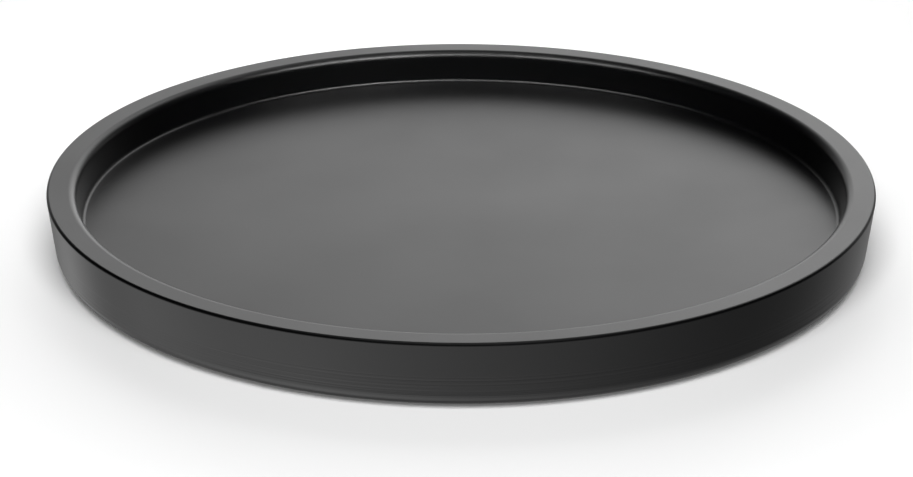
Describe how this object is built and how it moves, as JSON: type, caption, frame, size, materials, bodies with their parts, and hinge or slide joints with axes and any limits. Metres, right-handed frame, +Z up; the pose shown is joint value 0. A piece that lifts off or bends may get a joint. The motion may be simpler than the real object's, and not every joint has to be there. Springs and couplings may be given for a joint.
{
  "type": "round serving tray",
  "caption": "Round serving tray in black lacquered wood, with a thick base board, a flat-topped raised rim and screwed rubber feet.",
  "frame": {"origin": "on the table, under the tray's centre, where the feet rest", "axes": "+Z up through the tray's centre; X and Y are level, and one end joint of the rim lies on +X"},
  "size_m": [0.4, 0.4, 0.033],
  "materials": {
    "lacquered_board": "satin black lacquer on 16 mm board",
    "lacquered_rim": "satin black lacquer on solid wood",
    "beech": "plain, glued",
    "foot_rubber": "matt black",
    "zinc_steel": "bright zinc plating"
  },
  "bodies": {
    "root": {"base_board": "lacquered_board", "rim_segment_1": "lacquered_rim", "rim_segment_2": "lacquered_rim", "rim_segment_3": "lacquered_rim", "rim_segment_4": "lacquered_rim", "rim_segment_5": "lacquered_rim", "rim_segment_6": "lacquered_rim", "rim_tongue_1": "beech", "rim_tongue_2": "beech", "rim_tongue_3": "beech", "rim_tongue_4": "beech", "rim_tongue_5": "beech", "rim_tongue_6": "beech", "rim_dowel_1": "beech", "rim_dowel_2": "beech", "rim_dowel_3": "beech", "rim_dowel_4": "beech", "rim_dowel_5": "beech", "rim_dowel_6": "beech", "rim_dowel_7": "beech", "rim_dowel_8": "beech", "rim_dowel_9": "beech", "rim_dowel_10": "beech", "rim_dowel_11": "beech", "rim_dowel_12": "beech", "foot_1": "foot_rubber", "foot_2": "foot_rubber", "foot_3": "foot_rubber", "foot_4": "foot_rubber", "foot_washer_1": "zinc_steel", "foot_washer_2": "zinc_steel", "foot_washer_3": "zinc_steel", "foot_washer_4": "zinc_steel", "foot_screw_1": "zinc_steel", "foot_screw_2": "zinc_steel", "foot_screw_3": "zinc_steel", "foot_screw_4": "zinc_steel"}
  },
  "joints": []
}
